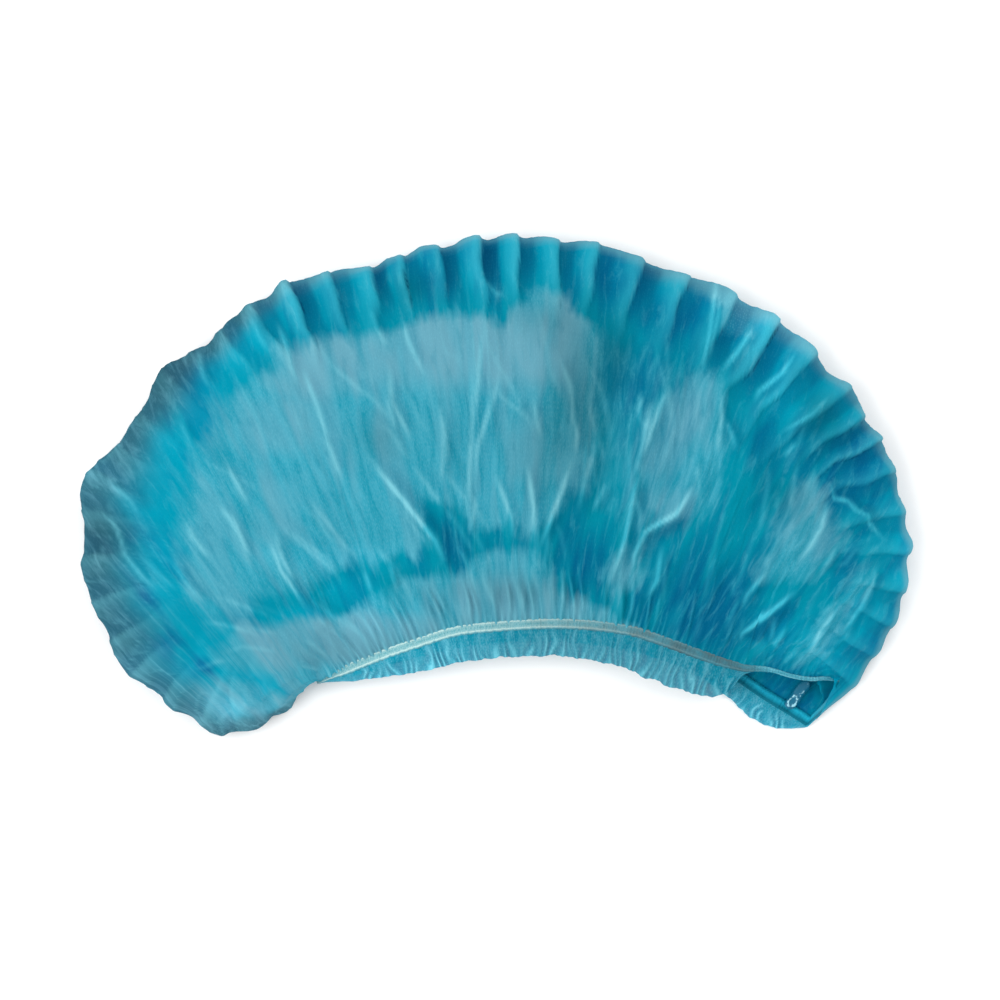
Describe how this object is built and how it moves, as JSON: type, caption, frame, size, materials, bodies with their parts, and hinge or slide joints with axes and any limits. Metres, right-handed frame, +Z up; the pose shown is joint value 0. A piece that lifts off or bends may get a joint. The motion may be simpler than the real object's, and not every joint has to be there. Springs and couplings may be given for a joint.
{
  "type": "disposable bouffant hairnet cap",
  "caption": "Sheer nonwoven bouffant hair cap lying flat as a crescent: hollow crown with a pleated rim, gathered by a pale elastic loop with a ruffled hem.",
  "frame": {"origin": "middle of the underside, on the surface the cap lies on", "axes": "+X to the right along the crescent, +Y from the mouth towards the rim, +Z up"},
  "size_m": [0.3334, 0.198, 0.0402],
  "materials": {
    "crown_cloth": "sheer sky-blue spunbond nonwoven with a fine bond-point pattern",
    "ruffle_cloth": "the same nonwoven, finely gathered below the elastic",
    "elastic": "pale cream-green double elastic thread seen through thin cloth",
    "weld": "glossy melted nonwoven"
  },
  "bodies": {
    "root": {"crown": "crown_cloth", "hem_ruffle": "ruffle_cloth", "elastic_loop": "elastic", "end_weld_left": "weld", "end_weld_right": "weld"}
  },
  "joints": []
}
